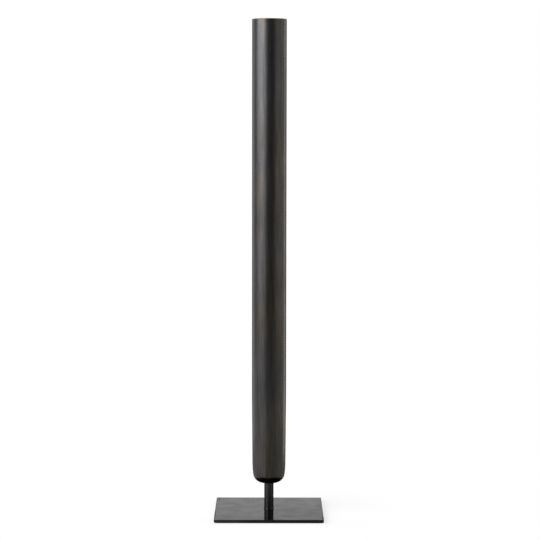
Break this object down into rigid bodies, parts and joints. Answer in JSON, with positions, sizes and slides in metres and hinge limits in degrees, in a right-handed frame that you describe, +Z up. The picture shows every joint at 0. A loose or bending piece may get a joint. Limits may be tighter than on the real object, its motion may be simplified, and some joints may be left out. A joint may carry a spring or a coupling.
{
  "type": "vase",
  "caption": "Tall slender tube vase of darkened brass with a rounded lower end, carried on a short rod above a thin square base plate.",
  "frame": {"origin": "on the surface it stands on, under the centre of the base plate", "axes": "+Z up along the tube's axis; the front edge of the base plate faces -Y; +X to the right seen from the front"},
  "size_m": [0.12, 0.12, 0.548],
  "materials": {
    "bronzed_brass": "chemically darkened, rubbed along the tube, satin",
    "blackened_plate": "black plated sheet, glossy",
    "blackened_rod": "black plated bar, semi-gloss",
    "plain_brass": "plain",
    "zinc_steel": "bright zinc",
    "rubber": "moulded, matt",
    "felt": "pressed wool felt, glued on"
  },
  "bodies": {
    "root": {"felt_pad": "felt", "base_plate": "blackened_plate", "base_screw": "zinc_steel", "foot_washer": "blackened_rod", "stem_rod": "blackened_rod", "vase_tube": "bronzed_brass", "floor_seal": "rubber", "floor_washer": "plain_brass", "lock_washer": "zinc_steel", "floor_screw": "zinc_steel"}
  },
  "joints": []
}
